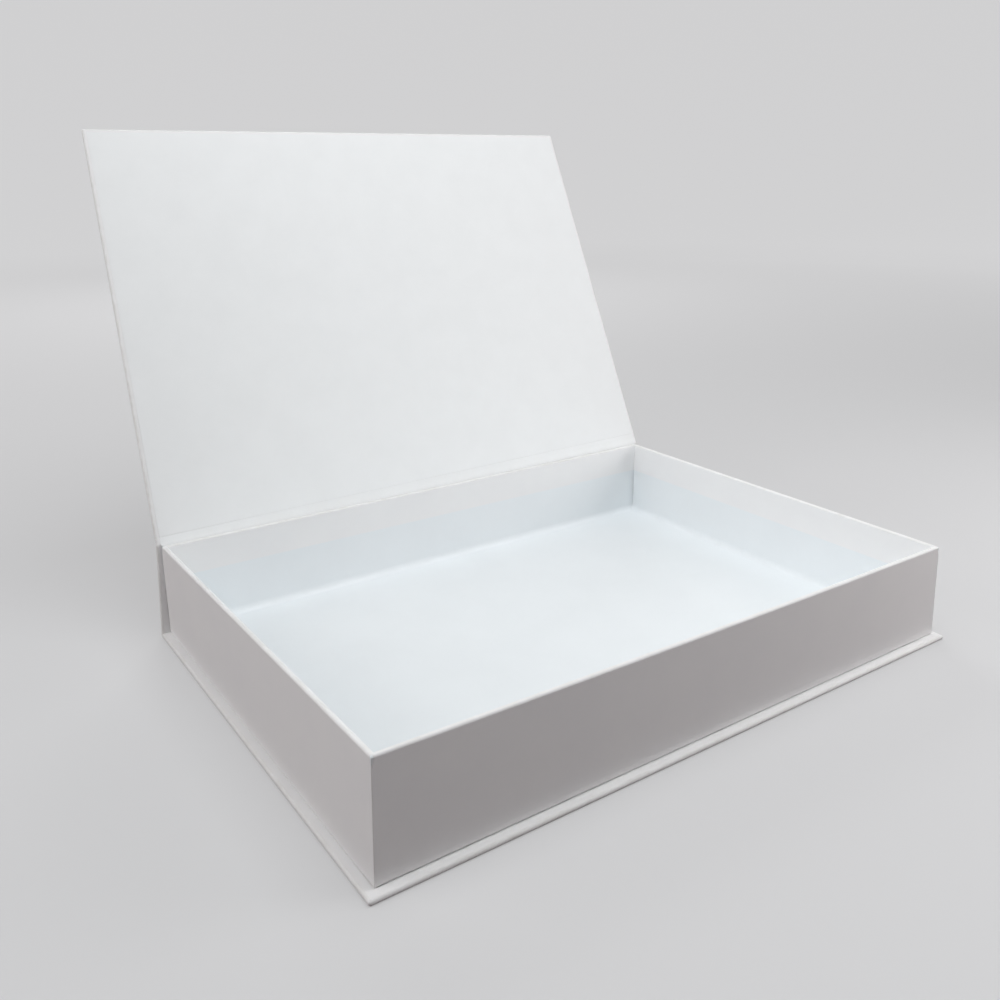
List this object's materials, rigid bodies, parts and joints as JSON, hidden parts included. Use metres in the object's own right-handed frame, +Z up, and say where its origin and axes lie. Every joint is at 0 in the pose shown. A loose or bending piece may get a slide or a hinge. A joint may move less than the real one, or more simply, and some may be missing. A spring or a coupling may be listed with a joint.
{
  "type": "book box",
  "caption": "Flat hinged box for papers and keepsakes: an open tray of folded board glued into a hard book-style case, whose lid swings back on a paper hinge.",
  "frame": {"origin": "centre of the underside of the base, without the opened lid, on the surface that the box stands on", "axes": "+X to the right along the hinge, +Y from the front edge to the spine, +Z up"},
  "size_m": [0.316, 0.3208, 0.2522],
  "materials": {
    "cover_paper": "white coated paper with a matt laminate and a soft sheen",
    "liner_paper": "plain white matt paper",
    "white_lined_board": "greyboard faced with plain white paper, matt",
    "greyboard": "bare grey pulp board, matt",
    "stay_tape": "brown gummed paper tape, matt"
  },
  "bodies": {
    "box": {"tray_board": "white_lined_board", "tray_wrap": "cover_paper", "corner_stay_front_left": "stay_tape", "corner_stay_front_right": "stay_tape", "corner_stay_rear_left": "stay_tape", "corner_stay_rear_right": "stay_tape", "base_board": "greyboard", "base_wrap": "cover_paper", "spine_board": "greyboard", "spine_wrap": "cover_paper", "spine_liner": "liner_paper", "hinge_wrap": "cover_paper", "hinge_liner": "liner_paper"},
    "lid": {"lid_board": "greyboard", "lid_wrap": "cover_paper", "lid_liner": "liner_paper"}
  },
  "joints": [
    {"name": "lid_hinge", "type": "hinge", "parent": "box", "child": "lid", "pos_m": [0, 0.1115, 0.04915], "axis": [-1, 0, 0], "range_deg": [-115.1, 76.8], "deforming": ["hinge_wrap", "hinge_liner"]}
  ]
}
